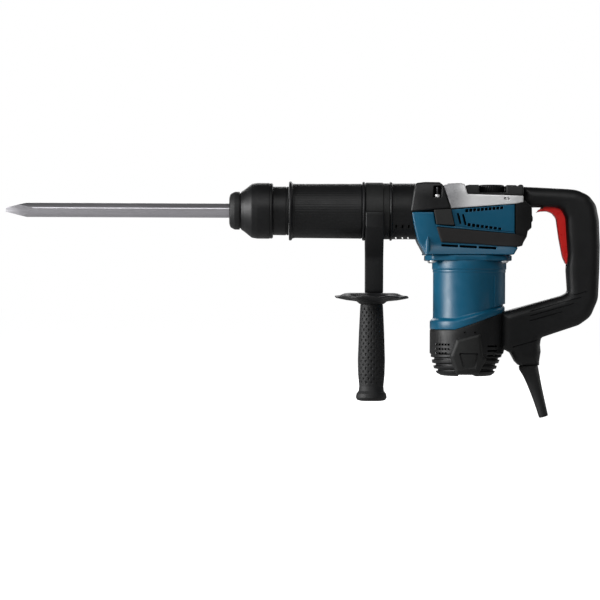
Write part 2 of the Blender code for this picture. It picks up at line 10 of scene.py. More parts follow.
import bmesh
import bpy
import numpy as np
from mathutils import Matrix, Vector, geometry


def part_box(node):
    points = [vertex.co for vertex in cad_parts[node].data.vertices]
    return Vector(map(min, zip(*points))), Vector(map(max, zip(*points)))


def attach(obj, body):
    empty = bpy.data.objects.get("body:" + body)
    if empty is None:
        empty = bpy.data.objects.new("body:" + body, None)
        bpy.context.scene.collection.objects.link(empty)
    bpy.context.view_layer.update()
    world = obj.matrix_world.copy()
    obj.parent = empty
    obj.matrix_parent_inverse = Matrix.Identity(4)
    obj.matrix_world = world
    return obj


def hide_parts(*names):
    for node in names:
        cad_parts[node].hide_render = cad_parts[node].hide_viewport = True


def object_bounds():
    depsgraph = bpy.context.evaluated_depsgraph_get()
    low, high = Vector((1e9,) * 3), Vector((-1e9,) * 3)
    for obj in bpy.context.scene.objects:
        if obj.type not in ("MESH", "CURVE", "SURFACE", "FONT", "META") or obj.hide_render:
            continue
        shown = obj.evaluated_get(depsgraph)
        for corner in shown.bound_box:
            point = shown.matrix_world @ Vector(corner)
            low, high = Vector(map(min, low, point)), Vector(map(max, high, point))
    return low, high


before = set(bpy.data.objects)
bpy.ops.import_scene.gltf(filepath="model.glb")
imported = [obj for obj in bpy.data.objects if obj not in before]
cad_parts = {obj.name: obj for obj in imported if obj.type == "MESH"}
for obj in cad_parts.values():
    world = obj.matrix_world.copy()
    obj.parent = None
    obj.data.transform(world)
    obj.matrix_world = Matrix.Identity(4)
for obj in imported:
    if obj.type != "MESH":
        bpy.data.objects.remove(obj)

CAD_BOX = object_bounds()
MM = 0.001


def frame_origin():
    """Where tool space starts: over the motor shaft, at the height of the striker."""
    shaft_low, shaft_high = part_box("motor_shaft")
    striker_low, striker_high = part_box("striker")
    across = (shaft_low.x + shaft_high.x) / 2
    height = (striker_low.z + striker_high.z) / 2
    return Vector((across, 0.0, height)) / MM


ORIGIN = frame_origin()

# Turned parts
ROUND = 96  # segments of a large turned part
FINE = 32  # segments of a small turned part
MOTOR_SEGMENTS = 160
ROLL_STEPS = 3  # steps over the rolled rim of a slab
BARREL_R = 36.2
BEAD_R = 38.8
GRIP_X = -128.5
MOTOR_R = 47.6
COLLAR_R = 49.0
CAP_R = 51.7

# Half widths across the tool
HEAD_HALF = 43.0
HANDLE_HALF = 19.5
TRIGGER_HALF = 8.0

# Chisel
CHISEL_TIP = -611.8
CHISEL_FLATS = 17.6
CHISEL_TURN = radians(-14.0)

# Surface details
FLUTES = 64
FLUTE_DEPTH = 0.22
GUARD_WAVES = 9
WAVE_HEIGHT = 0.9
DIMPLE_WAVES = 14  # round the grip; each makes a dimple in two staggered rows
DIMPLE_ROW = 4.6
DIMPLE_DEPTH = 1.3
KNURLS = 36
KNURL_DEPTH = 0.45

# Camera
CAMERA_DISTANCE = 4.0
VIEW_WIDTH = 0.792
VIEW_CENTRE = (-223.1, -117.5)
SENSOR = 36.0
CAMERA_ROLL = radians(-0.25)

# Studio, in metres and watts: name, place, size and power of each light
LIT_SPOT = (0.0, 0.0, 0.17)
LIGHTS = (
    ("left", (-3.0, -0.8, 0.7), (1.3, 1.8), 135.0),
    ("front", (-0.3, -2.8, 2.1), (2.6, 0.8), 30.0),
    ("right", (2.6, 1.0, 0.9), (0.8, 1.2), 14.0),
    ("top", (0.0, -1.6, 2.5), (2.8, 0.45), 8.0),
    ("back", (0.2, 2.6, 1.2), (2.4, 1.0), 26.0),
)
WHITE = (1.0, 1.0, 1.0, 1.0)
WORLD_LIGHT = 0.07
FLOOR_GLOW = 0.96
FLOOR_REACH = 30.0

SIDES = (("left", -1), ("right", 1))


# Outlines


def rounded(corners, closed=True, steps=4, radius=0.0):
    """An outline with its corners rounded. A corner is (a, b, its radius), or (a, b) to take the
    common radius, where 0 leaves it sharp."""
    points = []
    count = len(corners)
    for index, corner in enumerate(corners):
        here = Vector(corner[:2])
        wanted = corner[2] if len(corner) > 2 else radius
        end = index in (0, count - 1) and not closed
        if not wanted or end:
            points.append(tuple(here))
            continue
        to_last = Vector(corners[index - 1][:2]) - here
        to_next = Vector(corners[(index + 1) % count][:2]) - here
        half_angle = to_last.angle(to_next) / 2
        reach = wanted / tan(half_angle)
        reach = min(reach, 0.48 * to_last.length, 0.48 * to_next.length)
        to_last.normalize()
        to_next.normalize()
        if half_angle > 1.53 or reach < 0.02:
            points.append(tuple(here))
            continue
        centre = here + (to_last + to_next).normalized() * reach / cos(half_angle)
        first = here + to_last * reach - centre
        last = here + to_next * reach - centre
        for step in range(steps + 1):
            points.append(tuple(centre + first.slerp(last, step / steps) * first.length))
    return points


def resampled(loop, spacing):
    """A closed outline with points added so that none are further apart than the spacing."""
    points = []
    for start, end in zip(loop, loop[1:] + loop[:1]):
        start, end = Vector(start), Vector(end)
        pieces = max(1, ceil((end - start).length / spacing))
        points += [tuple(start.lerp(end, step / pieces)) for step in range(pieces)]
    return points


def wound(loop, left):
    """The outline with its material on the left of its direction of travel, or on the right."""
    area = sum(a[0] * b[1] - b[0] * a[1] for a, b in zip(loop, loop[1:] + loop[:1]))
    return loop if (area > 0) == left else loop[::-1]


def inset(loop, depth):
    """The outline moved to its left by a depth."""
    points = np.array(loop)
    ahead = np.roll(points, -1, axis=0) - points
    ahead /= np.maximum(np.linalg.norm(ahead, axis=1, keepdims=True), 1e-9)
    left = np.stack([-ahead[:, 1], ahead[:, 0]], axis=1)
    before = np.roll(left, 1, axis=0)
    mean = left + before
    mean /= np.maximum(np.linalg.norm(mean, axis=1, keepdims=True), 1e-9)
    stretch = np.maximum((mean * left).sum(axis=1, keepdims=True), 0.5)
    return points + mean * depth / stretch


def distance_to(points, loop):
    """How far each point is from a closed outline."""
    starts = np.array(loop)
    spans = np.roll(starts, -1, axis=0) - starts
    lengths = np.maximum((spans**2).sum(axis=1), 1e-12)
    found = []
    for block in np.array_split(points, max(1, len(points) // 1500)):
        away = block[:, None, :] - starts[None]
        share = np.clip((away * spans).sum(axis=2) / lengths, 0.0, 1.0)
        gaps = away - share[:, :, None] * spans
        found.append(np.sqrt((gaps**2).sum(axis=2)).min(axis=1))
    return np.concatenate(found)


def within(points, loops):
    """Whether each point is inside the first outline and outside the others."""
    crossings = np.zeros(len(points), int)
    for loop in loops:
        starts = np.array(loop)
        ends = np.roll(starts, -1, axis=0)
        along, up = points[:, :1], points[:, 1:]
        spans = (starts[:, 1] > up) != (ends[:, 1] > up)
        rise = np.where(ends[:, 1] == starts[:, 1], 1.0, ends[:, 1] - starts[:, 1])
        meets = starts[:, 0] + (up - starts[:, 1]) * (ends[:, 0] - starts[:, 0]) / rise
        crossings += (spans & (along < meets)).sum(axis=1)
    return crossings % 2 == 1


# Meshes


def spot(axis, centre, along, across, up):
    """A point at (along) on the axis, and (across, up) from it; centre is where the axis lies."""
    first, second = centre
    if axis == "X":
        return (along, first + across, second + up)
    if axis == "Y":
        return (first + across, along, second + up)
    return (first + across, second + up, along)


def skin(bm, ring, following):
    """Faces between two rings; a ring of one vertex is a point."""
    count = max(len(ring), len(following))
    for step in range(count):
        after = (step + 1) % count
        corners = [ring[step % len(ring)], ring[after % len(ring)]]
        corners += [following[after % len(following)], following[step % len(following)]]
        bm.faces.new(list(dict.fromkeys(corners)))


def skin_all(bm, rings):
    for ring, following in zip(rings, rings[1:]):
        skin(bm, ring, following)


def lathe(profile, axis="X", centre=(0.0, 0.0), segments=ROUND, radius_at=None, along_at=None, into=None):
    """A turned part. The profile lists (place on the axis, radius), and closes on itself unless
    both its ends lie on the axis. radius_at and along_at vary it by turn."""
    bm = into or bmesh.new()
    rings = []
    for along, radius in profile:
        ring = []
        for step in range(segments if radius > 0 else 1):
            turn = tau * step / segments
            reach = radius_at(along, radius, turn) if radius_at and radius > 0 else radius
            place = along_at(along, reach, turn) if along_at and radius > 0 else along
            corner = spot(axis, centre, place, reach * cos(turn), reach * sin(turn))
            ring.append(bm.verts.new(corner))
        rings.append(ring)
    skin_all(bm, rings)
    if profile[0][1] > 0:
        skin(bm, rings[-1], rings[0])
    return bm


def rod(low, high, radius, axis="X", centre=(0.0, 0.0), segments=FINE, roll=0.3, into=None):
    """A round bar with its end edges rounded."""
    profile = [(low, 0), (low, radius, roll), (high, radius, roll), (high, 0)]
    return lathe(rounded(profile, closed=False, steps=3), axis, centre, segments, into=into)


def slab(outline, low, high, roll=1.0, axis="Y", spacing=6.0, into=None):
    """An outline pushed along an axis, with the rims of its two faces rounded."""
    bm = into or bmesh.new()
    loop = resampled(wound(outline, True), spacing)
    turns = [pi / 2 * step / ROLL_STEPS for step in range(ROLL_STEPS + 1)]
    drops = [(roll * (1 - sin(turn)), roll * (1 - cos(turn))) for turn in turns]
    levels = [(low + drop, depth) for drop, depth in reversed(drops)]
    levels += [(high - drop, depth) for drop, depth in drops]
    rings = []
    for along, depth in levels:
        corners = inset(loop, depth)
        rings.append([bm.verts.new(spot(axis, (0.0, 0.0), along, *corner)) for corner in corners])
    skin_all(bm, rings)
    bm.faces.new(rings[0])
    bm.faces.new(rings[-1])
    return bm


def block(x, y, z, roll=0.3, into=None):
    """A box from its low and high X, Y and Z, with its Y rims rounded."""
    corners = [(x[0], z[0]), (x[1], z[0]), (x[1], z[1]), (x[0], z[1])]
    return slab(corners, y[0], y[1], roll, into=into)


def rim_rows(loops, rolls):
    """Points that follow each outline over its rounded rim."""
    rows = []
    for number, (loop, roll) in enumerate(zip(loops, rolls)):
        count = 3 if roll < 5.0 else 7
        depths = [roll * (1 - cos(pi / 2 * step / count)) for step in range(1, count + 1)]
        for depth in depths + [1.15 * roll]:
            row = inset(loop, depth)
            keep = within(row, loops) & (distance_to(row, loop) > 0.95 * depth)
            for other, (rim, rim_roll) in enumerate(zip(loops, rolls)):
                if other != number:
                    keep &= distance_to(row, rim) > 0.4 * rim_roll
            rows.append(row[keep])
    return rows


def grid_points(loops, rolls, grid):
    """An even grid over the face inside the rims."""
    outer = np.array(loops[0])
    low, high = outer.min(axis=0), outer.max(axis=0)
    across, up = np.meshgrid(np.arange(low[0], high[0], grid), np.arange(low[1], high[1], 0.87 * grid))
    across[1::2] += grid / 2
    points = np.stack([across.ravel(), up.ravel()], axis=1)
    keep = within(points, loops)
    for loop, roll in zip(loops, rolls):
        keep &= distance_to(points, loop) > 1.15 * roll + 0.4 * grid
    return points[keep]


def rim_drop(points, loops, rolls):
    """How far the face falls away near its rims."""
    drop = np.zeros(len(points))
    for loop, roll in zip(loops, rolls):
        share = np.clip(1.0 - distance_to(points, loop) / roll, 0.0, 1.0)
        drop = np.maximum(drop, roll * (1.0 - np.sqrt(1.0 - share**2)))
    return drop


def cover(outline, half, roll, holes=(), hole_roll=0.6, grid=4.0, side=0, inner=0.0, spacing=2.0):
    """A moulded piece. Its outline lies in XZ, its face stands at half(x, z) from the middle plane
    and rolls over by roll at the rim. It reaches to the same face on the other side or, with a
    side of -1 or 1, to inner on its own side."""
    loops = [resampled(wound(outline, True), spacing)]
    loops += [resampled(wound(hole, False), spacing) for hole in holes]
    rolls = [roll] + [hole_roll] * len(holes)
    points, edges = [], []
    for loop in loops:
        first = len(points)
        points += loop
        edges += [(first + step, first + (step + 1) % len(loop)) for step in range(len(loop))]
    extra = np.concatenate(rim_rows(loops, rolls) + [grid_points(loops, rolls, grid)])
    corners = [Vector(point) for point in points] + [Vector(point) for point in extra]
    flat, _, faces, *_ = geometry.delaunay_2d_cdt(corners, edges, [], 0, 1e-4)
    flat = np.array([tuple(corner) for corner in flat])
    faces = np.array([face for face in faces if len(face) == 3])
    faces = faces[within(flat[faces].mean(axis=1), loops)]
    depth = half(flat[:, 0], flat[:, 1]) - rim_drop(flat, loops, rolls)
    return two_sided(flat, faces, depth, side, inner)


def two_sided(flat, faces, depth, side, inner):
    """The solid between a triangulated face and its mirror image, or a flat back."""
    near = side or -1
    back = np.full(len(flat), near * inner) if side else -near * depth
    used = np.unique(faces)
    bm = bmesh.new()
    fronts = {index: bm.verts.new((flat[index, 0], near * depth[index], flat[index, 1])) for index in used}
    backs = {index: bm.verts.new((flat[index, 0], back[index], flat[index, 1])) for index in used}
    edge_uses = {}
    for face in faces:
        bm.faces.new([fronts[index] for index in face])
        bm.faces.new([backs[index] for index in reversed(face)])
        for start, end in zip(face, np.roll(face, -1)):
            edge_uses.setdefault(frozenset((start, end)), []).append((start, end))
    for uses in edge_uses.values():
        if len(uses) == 1:
            start, end = uses[0]
            bm.faces.new([fronts[end], fronts[start], backs[start], backs[end]])
    return bm


def swept(path, radii, sides, bore):
    """A tube along a path in XZ, with one radius for each point."""
    bm = bmesh.new()
    points = [Vector(point) for point in path]
    shells = []
    for reaches in (radii, [bore] * len(radii)):
        rings = []
        for index, point in enumerate(points):
            ahead = points[min(index + 1, len(points) - 1)] - points[max(index - 1, 0)]
            across = Vector((0.0, 1.0, 0.0))
            up = ahead.cross(across).normalized()
            ring = []
            for step in range(sides):
                turn = tau * step / sides
                offset = across * cos(turn) + up * sin(turn)
                ring.append(bm.verts.new(point + offset * reaches[index]))
            rings.append(ring)
        skin_all(bm, rings)
        shells.append(rings)
    skin(bm, shells[0][0], shells[1][0])
    skin(bm, shells[0][-1], shells[1][-1])
    return bm


# Objects


def new_object(name, data):
    obj = bpy.data.objects.new(name, data)
    bpy.context.scene.collection.objects.link(obj)
    return obj


def mesh_object(name, bm):
    mesh = bpy.data.meshes.new(name)
    bm.to_mesh(mesh)
    bm.free()
    return new_object(name, mesh)


def to_object(name, bm):
    """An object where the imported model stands, from a mesh in tool space."""
    bmesh.ops.recalc_face_normals(bm, faces=bm.faces)
    bmesh.ops.translate(bm, vec=ORIGIN, verts=bm.verts)
    bmesh.ops.scale(bm, vec=(MM, MM, MM), verts=bm.verts)
    return mesh_object(name, bm)


def piece(name, bm, look, node, cutters=(), body="housing", sharp=42.0):
    """A visible piece that rides on a body and stands for a CAD node."""
    obj = to_object(name, bm)
    obj.data.materials.append(look)
    for cutter in cutters:
        carve(obj, cutter)
    split_polygons(obj)
    obj.data.shade_smooth()
    obj.data.set_sharp_from_angle(angle=radians(sharp))
    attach(obj, body)
    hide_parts(node)


def carve(obj, bm):
    """Take a mesh in tool space away from an object."""
    cutter = to_object("cutter", bm)
    boolean = obj.modifiers.new("cut", "BOOLEAN")
    boolean.operation = "DIFFERENCE"
    boolean.solver = "EXACT"
    boolean.object = cutter
    bpy.context.view_layer.update()
    depsgraph = bpy.context.evaluated_depsgraph_get()
    result = bpy.data.meshes.new_from_object(obj.evaluated_get(depsgraph))
    obj.modifiers.clear()
    obj.data = result
    bpy.data.objects.remove(cutter)


def split_polygons(obj):
    """Cut every polygon with more than four corners into triangles."""
    bm = bmesh.new()
    bm.from_mesh(obj.data)
    polygons = [face for face in bm.faces if len(face.verts) > 4]
    bmesh.ops.triangulate(bm, faces=polygons, ngon_method="EAR_CLIP")
    bm.to_mesh(obj.data)
    bm.free()


# Materials

# Sockets of a Mix node that several inputs or outputs share a name with
FIRST_COLOUR = 6
SECOND_COLOUR = 7
MIXED_FLOAT = 0
MIXED_COLOUR = 2

MOST_NOISE = (0.3, 0.7)  # the range that most noise values lie in
BUMP_HEIGHT = 0.0003  # metres


def plug(shader_node, **settings):
    """Set a node's inputs by name, each to a value or to another node's output."""
    for name, value in settings.items():
        socket = shader_node.inputs[name.replace("_", " ")]
        if isinstance(value, bpy.types.NodeSocket):
            shader_node.id_data.links.new(value, socket)
        else:
            socket.default_value = value


def node(tree, kind, **settings):
    made = tree.nodes.new("ShaderNode" + kind)
    plug(made, **settings)
    return made


def coordinates(tree, stretch):
    """Object coordinates in metres, stretched along each axis."""
    source = node(tree, "TexCoord").outputs["Object"]
    return node(tree, "Mapping", Vector=source, Scale=stretch).outputs["Vector"]


def noise(tree, vector, size, detail=3.0):
    """Noise whose lumps have about the given size in millimetres."""
    settings = {"Vector": vector, "Scale": 1.0 / (size * MM), "Detail": detail, "Roughness": 0.55}
    return node(tree, "TexNoise", **settings).outputs["Fac"]


def cells(tree, vector, size):
    """The height of spark-eroded grain with cells of the given size in millimetres."""
    made = node(tree, "TexVoronoi", Vector=vector, Scale=1.0 / (size * MM))
    return made.outputs["Distance"]


def spread(tree, value, low, high, start=0.0, end=1.0):
    """A value that goes from start to end, spread over low to high."""
    settings = {"Value": value, "From_Min": start, "From_Max": end, "To_Min": low, "To_Max": high}
    return node(tree, "MapRange", **settings).outputs["Result"]


def colour_mix(tree, **settings):
    made = node(tree, "Mix", **settings)
    made.data_type = "RGBA"
    return made


def finish(
    name, colour, roughness, metallic, grain, relief, mottle=0.15,
    stretch=(1.0, 1.0, 1.0), specular=0.5, coat=0.0, pitted=False, patch=14.0,
):
    """A procedural material. Grain is the size of its bumps and patch that of its colour
    changes, in millimetres; mottle is how much the colour varies, and relief how deep it is."""
    material = bpy.data.materials.new(name)
    material.use_nodes = True
    tree = material.node_tree
    shader = tree.nodes["Principled BSDF"]
    vector = coordinates(tree, stretch)
    fine = cells(tree, vector, grain) if pitted else noise(tree, vector, grain)
    broad = noise(tree, vector, patch, detail=4.0)
    speck = noise(tree, vector, grain * 1.7, detail=1.0)
    both = node(tree, "Mix", Factor=0.45, A=broad, B=speck).outputs[MIXED_FLOAT]
    tint = colour_mix(tree, Factor=spread(tree, both, 0.0, 1.0, *MOST_NOISE))
    tint.inputs[FIRST_COLOUR].default_value = (*[channel * (1.0 - mottle) for channel in colour], 1.0)
    lighter = [min(1.0, channel * (1.0 + mottle)) for channel in colour]
    tint.inputs[SECOND_COLOUR].default_value = (*lighter, 1.0)
    rough = spread(tree, broad, roughness - 0.05, roughness + 0.05, *MOST_NOISE)
    bump = node(tree, "Bump", Height=fine, Strength=relief, Distance=BUMP_HEIGHT)
    plug(shader, Base_Color=tint.outputs[MIXED_COLOUR], Roughness=rough, Normal=bump.outputs["Normal"])
    plug(shader, Metallic=metallic, Specular_IOR_Level=specular, Coat_Weight=coat, Coat_Roughness=0.15)
    return material


def polish_towards_rear(material, bright, roughness):
    """Turn a raw casting into a smooth painted arm over the stretch behind its bump."""
    tree = material.node_tree
    shader = tree.nodes["Principled BSDF"]
    raw_colour, raw_roughness, raw_normal = (
        shader.inputs[name].links[0].from_socket for name in ("Base Color", "Roughness", "Normal")
    )
    source = node(tree, "TexCoord").outputs["Object"]
    split = node(tree, "SeparateXYZ", Vector=source)
    start, end = ((x + ORIGIN.x) * MM for x in (-24.0, 6.0))
    ramp = node(tree, "MapRange", Value=split.outputs["X"], From_Min=start, From_Max=end)
    ramp.interpolation_type = "SMOOTHSTEP"
    share = ramp.outputs["Result"]
    tint = colour_mix(tree, Factor=share)
    tree.links.new(raw_colour, tint.inputs[FIRST_COLOUR])
    tint.inputs[SECOND_COLOUR].default_value = (*bright, 1.0)
    gloss = node(tree, "Mix", Factor=share, A=raw_roughness, B=roughness)
    plug(shader, Base_Color=tint.outputs[MIXED_COLOUR], Roughness=gloss.outputs[MIXED_FLOAT])
    plug(raw_normal.node, Strength=spread(tree, share, 0.5, 0.02))
    return material


# Name, colour, roughness, metallic, grain, relief, mottle
BLUE = finish("satin_blue_plastic", (0.0008, 0.084, 0.16), 0.36, 0.0, 0.35, 0.08, 0.05, specular=0.42)
BLACK = finish("grained_black_plastic", (0.0052, 0.0055, 0.006), 0.46, 0.0, 0.45, 0.3, 0.18, specular=0.35)
SMOOTH_BLACK = finish("smooth_black_plastic", (0.0045, 0.0047, 0.0052), 0.38, 0.0, 0.3, 0.1, specular=0.4)
GREY_BLACK = finish("grey_black_plastic", (0.0125, 0.013, 0.0128), 0.55, 0.0, 0.45, 0.3, 0.12, specular=0.35)
RUBBER = finish(
    "soft_rubber", (0.009, 0.0092, 0.0098), 0.58, 0.0, 0.6, 0.45, 0.18, specular=0.42, pitted=True,
)
BELT_RUBBER = finish("belt_rubber", (0.0135, 0.0125, 0.0125), 0.6, 0.0, 0.5, 0.35, 0.12, specular=0.3)
RAW_CAST = finish("cast_aluminium", (0.34, 0.34, 0.35), 0.46, 0.3, 0.9, 0.5, 0.2, pitted=True, patch=3.0)
CAST = polish_towards_rear(RAW_CAST, bright=(0.93, 0.93, 0.93), roughness=0.33)
BRIGHT = finish("satin_aluminium", (0.74, 0.74, 0.74), 0.3, 0.75, 0.4, 0.06, 0.05)
CHISEL_STEEL = finish(
    "forged_steel", (0.52, 0.51, 0.54), 0.33, 0.9, 0.35, 0.22, 0.14, stretch=(0.04, 1.0, 1.0), patch=6.0,
)
STEEL = finish("machined_steel", (0.46, 0.46, 0.47), 0.28, 1.0, 0.3, 0.12, 0.1)
DARK_STEEL = finish("blackened_steel", (0.09, 0.09, 0.095), 0.4, 1.0, 0.4, 0.16)
ZINC = finish("zinc_screw", (0.9, 0.9, 0.9), 0.35, 0.35, 0.3, 0.08)
COPPER = finish("copper_bars", (0.6, 0.26, 0.13), 0.33, 1.0, 0.3, 0.1)
LAMINATIONS = finish("stacked_laminations", (0.2, 0.2, 0.22), 0.45, 0.9, 0.5, 0.6, stretch=(0.1, 0.1, 1.4))
CARBON = finish("carbon_brush", (0.03, 0.03, 0.03), 0.7, 0.0, 0.4, 0.3)
RED = finish("red_plastic", (0.92, 0.016, 0.012), 0.3, 0.0, 0.3, 0.06, 0.06, coat=0.2)
# Near-black and dull, for blocks inside the shells: painted shade, seen through slots, vents and gaps where
# the inside of the tool lies in shade
SHADOW = finish("unlit_recess", (0.004, 0.004, 0.0045), 0.8, 0.0, 0.6, 0.2, specular=0.1)

KEPT = (
    (STEEL, (
        "lock_roller_1", "lock_roller_2", "sleeve_spring", "impact_bolt", "striker", "gudgeon_pin",
        "connecting_rod", "crank_pin", "crank_gear", "motor_shaft", "pinion", "crank_bearing",
        "upper_bearing", "lower_bearing", "clamp_bolt",
    )),
    (DARK_STEEL, ("tool_holder", "crank_shaft", "hammer_tube")),
    (LAMINATIONS, ("armature", "field_stator")),
    (CARBON, ("brush_left", "brush_right")),
    (COPPER, ("commutator",)),
    (BRIGHT, ("piston",)),
    (RUBBER, ("striker_seal",)),
    (BLACK, ("fan",)),
    (SMOOTH_BLACK, ("switch",)),
)


def finish_kept_nodes():
    """Better materials for the mechanism, whose CAD shapes stay."""
    for look, names in KEPT:
        for name in names:
            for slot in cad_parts[name].material_slots:
                slot.material = look


# Chisel and nose


def chisel_bar():
    """A hexagonal bar cut to a four-sided point, with rounded edges."""
    bm = bmesh.new()
    corner_r = CHISEL_FLATS / sqrt(3.0)
    turns = [CHISEL_TURN + tau * step / 6 for step in range(6)]
    corners = [(corner_r * cos(turn), corner_r * sin(turn)) for turn in turns]
    hexagon = rounded(corners, steps=5, radius=3.4)
    rings = [[bm.verts.new((x, *corner)) for corner in hexagon] for x in (CHISEL_TIP, -304.5)]
    skin(bm, *rings)
    for ring in rings:
        bm.faces.new(ring)
    tip_half = 2.6
    for across, up, slope in ((1, 0, 0.185), (-1, 0, 0.185), (0, 1, 0.25), (0, -1, 0.25)):
        outward = Vector((-slope, across, up)).normalized()
        start = Vector((CHISEL_TIP, across * tip_half, up * tip_half))
        parts = bm.verts[:] + bm.edges[:] + bm.faces[:]
        cut = bmesh.ops.bisect_plane(bm, geom=parts, plane_co=start, plane_no=outward, clear_outer=True)
        edges = [item for item in cut["geom_cut"] if isinstance(item, bmesh.types.BMEdge)]
        bmesh.ops.edgeloop_fill(bm, edges=edges)
    bmesh.ops.recalc_face_normals(bm, faces=bm.faces)
    point = [edge for edge in bm.edges if min(end.co.x for end in edge.verts) < -567.0]
    sharp = [edge for edge in point if edge.calc_face_angle(0.0) > 0.30]
    bmesh.ops.bevel(bm, geom=sharp, offset=0.3, segments=2, affect="EDGES", profile=0.6)
    return bm


def make_chisel():
    bm = chisel_bar()
    shank = [(-306, 0), (-306, 9), (-212, 9, 1.5), (-212, 0)]
    lathe(rounded(shank, closed=False), segments=48, into=bm)
    grooves = block((-262.0, -232.0), (-3.4, 3.4), (6.5, 12.0))
    block((-262.0, -232.0), (-3.4, 3.4), (-12.0, -6.5), into=grooves)
    piece("chisel_bar", bm, CHISEL_STEEL, "chisel", [grooves], body="chisel", sharp=16.0)


def make_nose():
    """Rubber nose cap, locking sleeve and turning ring."""
    cap = [
        (-316.6, 11.4, 1.2), (-316.8, 17.4, 3), (-315.4, 22, 4), (-309.6, 25, 3),
        (-303.2, 25, 0.6), (-303.2, 23.2), (-302, 23.2), (-302, 11.4),
    ]
    piece("nose_cap", lathe(rounded(cap)), RUBBER, "dust_cap", body="tool_holder")
    sleeve = [
        (-301.9, 17.4), (-301.9, 23.4, 0.8), (-300.6, 25.4, 1), (-297.4, 27.4, 3), (-287.2, 35.6, 5),
        (-280, 36.8, 8), (-263.8, 36.8, 0.3), (-263.5, 36.1, 0.2), (-262.7, 36.1, 0.2),
        (-262.4, 36.7, 0.3), (-260.2, 36.4, 0.9), (-259.2, 35, 0.6), (-259.2, 33), (-286, 33),
        (-293, 24), (-293, 17.4),
    ]
    piece("lock_sleeve", lathe(rounded(sleeve)), BLACK, "locking_sleeve", body="locking_sleeve")
    ring = [
        (-259, 24.3), (-259, 32, 0.5), (-242.2, 32.2, 0.3), (-241.9, 31.4, 0.2), (-241.1, 31.4, 0.2),
        (-240.8, 32.2, 0.3), (-238.5, 32, 0.5), (-238.5, 24.3), (-240.5, 16.4), (-246, 16.4),
        (-246, 24.3),
    ]
    piece("turn_ring", lathe(rounded(ring)), BLACK, "adjusting_ring", body="adjusting_ring")


# Barrel and side handle


def make_barrel():
    shell = [
        (-238.2, 17), (-238.2, 38.2, 0.3), (-237.4, 39, 0.4), (-235, 39, 0.9), (-233.4, 36.4, 1.4),
        (-230.0, 35.7, 2.0), (-146.4, BARREL_R, 1.0), (-143.2, BARREL_R + 0.2, 0.4), (-141.9, 35.4, 0.4),
        (-141.9, 30), (-232, 30), (-235, 28), (-235, 17),
    ]

    def fluted(along, radius, turn):
        """Fine lines that run along the cover between its two ends."""
        if not -231.0 < along < -146.0 or radius < 34.0:
            return radius
        return radius - FLUTE_DEPTH * max(0.0, cos(FLUTES * turn)) ** 4

    cover_body = lathe(rounded(shell), segments=512, radius_at=fluted)
    piece("barrel_shell", cover_body, BLACK, "barrel_cover")
    neck = [
        (-141.6, 30), (-141.6, 37.2, 0.4), (-141, BEAD_R, 0.9), (-138.2, BEAD_R, 0.9), (-137.7, 33),
        (-105.7, 33), (-105.4, BEAD_R - 0.6, 0.6), (-104.6, BEAD_R, 0.8), (-102.8, BEAD_R, 0.9),
        (-102, 36.9, 0.6), (-62, 36.9, 0.4), (-62, 30),
    ]
    holes = bmesh.new()
    for x in (-97.0, -88.4, -80.9):
        rod(-30.0, 30.0, 1.3, "Y", (x, -35.0), 16, into=holes)
    for x in (-97.6, -89.2, -81.0):
        corners = [(x - 1.1, -22.6), (x + 1.1, -22.6), (x + 1.1, -18.4), (x - 1.1, -18.4)]
        slab(rounded(corners, radius=1.0), -60.0, 60.0, 0.1, into=holes)
    piece("neck_shell", lathe(rounded(neck), segments=128), BLACK, "barrel_neck", [holes])


def bracket_outline():
    """Two shoulders under the barrel that meet in a stem. The barrel's bore is cut later."""
    right = [(42.2, -1.3, 2.4), (42.2, -22, 4), (15, -62, 14), (12.5, -107.9, 2.4)]
    left = [(-y, z, roll) for y, z, roll in reversed(right)]
    return rounded(right + left)


